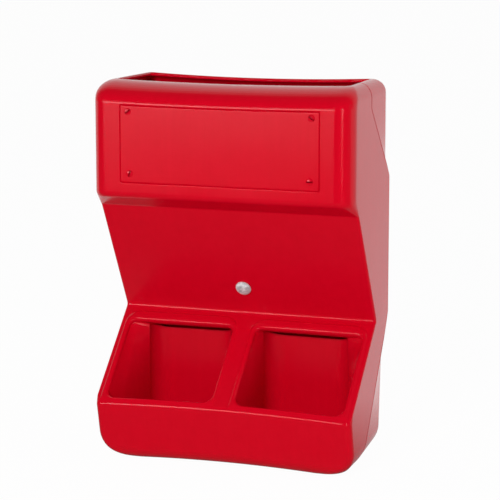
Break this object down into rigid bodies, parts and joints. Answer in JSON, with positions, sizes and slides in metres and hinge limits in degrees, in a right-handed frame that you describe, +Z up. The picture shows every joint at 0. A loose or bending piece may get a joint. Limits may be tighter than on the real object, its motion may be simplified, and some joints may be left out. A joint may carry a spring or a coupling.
{
  "type": "creep feeder",
  "caption": "Wall-hung red plastic feeder for lambs: an open-topped hopper over scooped feeding cups, with a slotted steel flow gate held by a bolt and wing nut.",
  "frame": {"origin": "on the surface the feeder stands on, under the middle of its box", "axes": "+Z up, -Y to the front where the cups open, +Y to the wall behind, +X to the right seen from the front"},
  "size_m": [0.305, 0.158, 0.4344],
  "materials": {
    "red_polyethylene": "satin moulded polyethylene with a fine skin texture",
    "galvanised_steel": "galvanised sheet, mottled grey",
    "zinc_plate": "dull zinc plate"
  },
  "bodies": {
    "feeder": {"feeder_body": "red_polyethylene", "gate_bolt": "zinc_plate"},
    "gate": {"feed_gate": "galvanised_steel"},
    "washer": {"gate_washer": "zinc_plate"},
    "nut": {"gate_wing_nut": "zinc_plate"}
  },
  "joints": [
    {"name": "gate_slide", "type": "slide", "parent": "feeder", "child": "gate", "axis": [0, 0.4896, -0.8719], "range_m": [0, 0.032]},
    {"name": "washer_travel", "type": "slide", "parent": "feeder", "child": "washer", "axis": [0, 0.8719, 0.4896], "range_m": [0, 0.00282]},
    {"name": "nut_turn", "type": "hinge", "parent": "washer", "child": "nut", "pos_m": [0, 0.00388, 0.19526], "axis": [0, 0.8719, 0.4896], "range_deg": [0, 720]}
  ],
  "couplings": [
    {"joint": "washer_travel", "follows": "nut_turn", "m_per_rad": 0.00022458}
  ]
}
